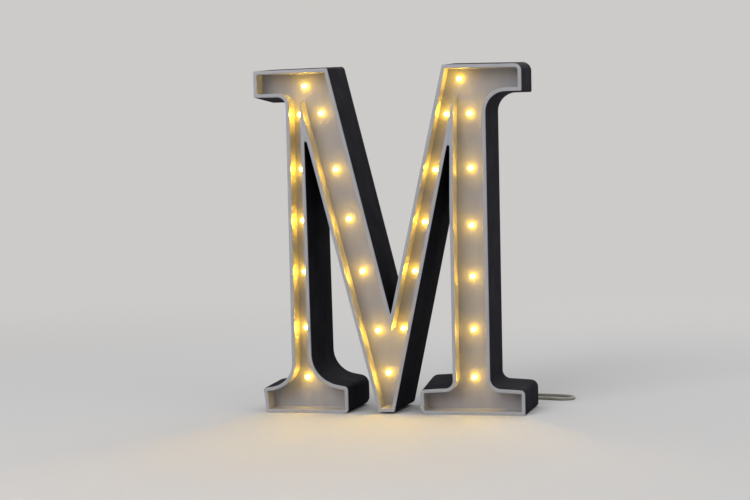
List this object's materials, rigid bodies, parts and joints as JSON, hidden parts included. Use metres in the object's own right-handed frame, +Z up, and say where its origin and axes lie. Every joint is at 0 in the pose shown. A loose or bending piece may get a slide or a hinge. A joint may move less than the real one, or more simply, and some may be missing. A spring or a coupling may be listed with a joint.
{
  "type": "letter night light",
  "caption": "Free-standing serif capital M night light: black boxed letter with a white rim and tray, small warm lamps along each stroke, back rocker switch and USB lead.",
  "frame": {"origin": "on the table, under the middle of the letter's box without its cord", "axes": "+Z up, -Y towards the viewer of the letter's open front, +X to the viewer's right"},
  "size_m": [0.3121, 0.1719, 0.3548],
  "materials": {
    "black_paint": "matt black paint on thin board, brushed on by hand",
    "white_paint": "matt white paint on thin board",
    "raw_wood": "bare softwood",
    "zinc_steel": "bright zinc plate",
    "lamp_epoxy": "clear moulded epoxy, lit from within",
    "pale_plastic": "moulded",
    "clear_pvc": "thin clear insulation over copper",
    "black_plastic": "moulded, fine grain",
    "brass": "bare",
    "cord_pvc": "soft grey PVC",
    "plug_pvc": "soft grey PVC, moulded over",
    "plug_steel": "nickel-plated sheet"
  },
  "bodies": {
    "lamp": {"top_left_strip": "black_paint", "valley_left_strip": "black_paint", "valley_right_strip": "black_paint", "top_right_strip": "black_paint", "right_side_strip": "black_paint", "right_foot_strip": "black_paint", "right_gap_strip": "black_paint", "right_diagonal_strip": "black_paint", "vertex_strip": "black_paint", "left_diagonal_strip": "black_paint", "left_gap_strip": "black_paint", "left_foot_strip": "black_paint", "left_side_strip": "black_paint", "rim_liner": "white_paint", "face_panel": "white_paint", "back_cover": "black_paint", "glue_blocks": "raw_wood", "cover_screws": "zinc_steel", "lamp_lenses": "lamp_epoxy", "lamp_sleeves": "pale_plastic", "left_stem_wire": "clear_pvc", "left_diagonal_wire": "clear_pvc", "right_diagonal_wire": "clear_pvc", "right_stem_wire": "clear_pvc", "terminal_block": "pale_plastic", "terminal_screws": "zinc_steel", "switch_housing": "black_plastic", "switch_blades": "brass", "switch_wires": "cord_pvc", "cord_relief": "cord_pvc", "cord_clamp": "pale_plastic", "inner_lead": "cord_pvc", "cord_lead": "cord_pvc", "cord_coil": "cord_pvc", "cord_tail": "cord_pvc", "coil_tie": "black_plastic", "plug_grip": "plug_pvc", "plug_boot": "plug_pvc", "plug_shell": "plug_steel", "plug_carrier": "pale_plastic", "plug_contacts": "brass"},
    "rocker": {"switch_rocker": "black_plastic"}
  },
  "joints": [
    {"name": "rocker_tilt", "type": "hinge", "parent": "lamp", "child": "rocker", "pos_m": [0.082, 0.027, 0.062], "axis": [1, 0, 0], "range_deg": [-20, 0]}
  ]
}
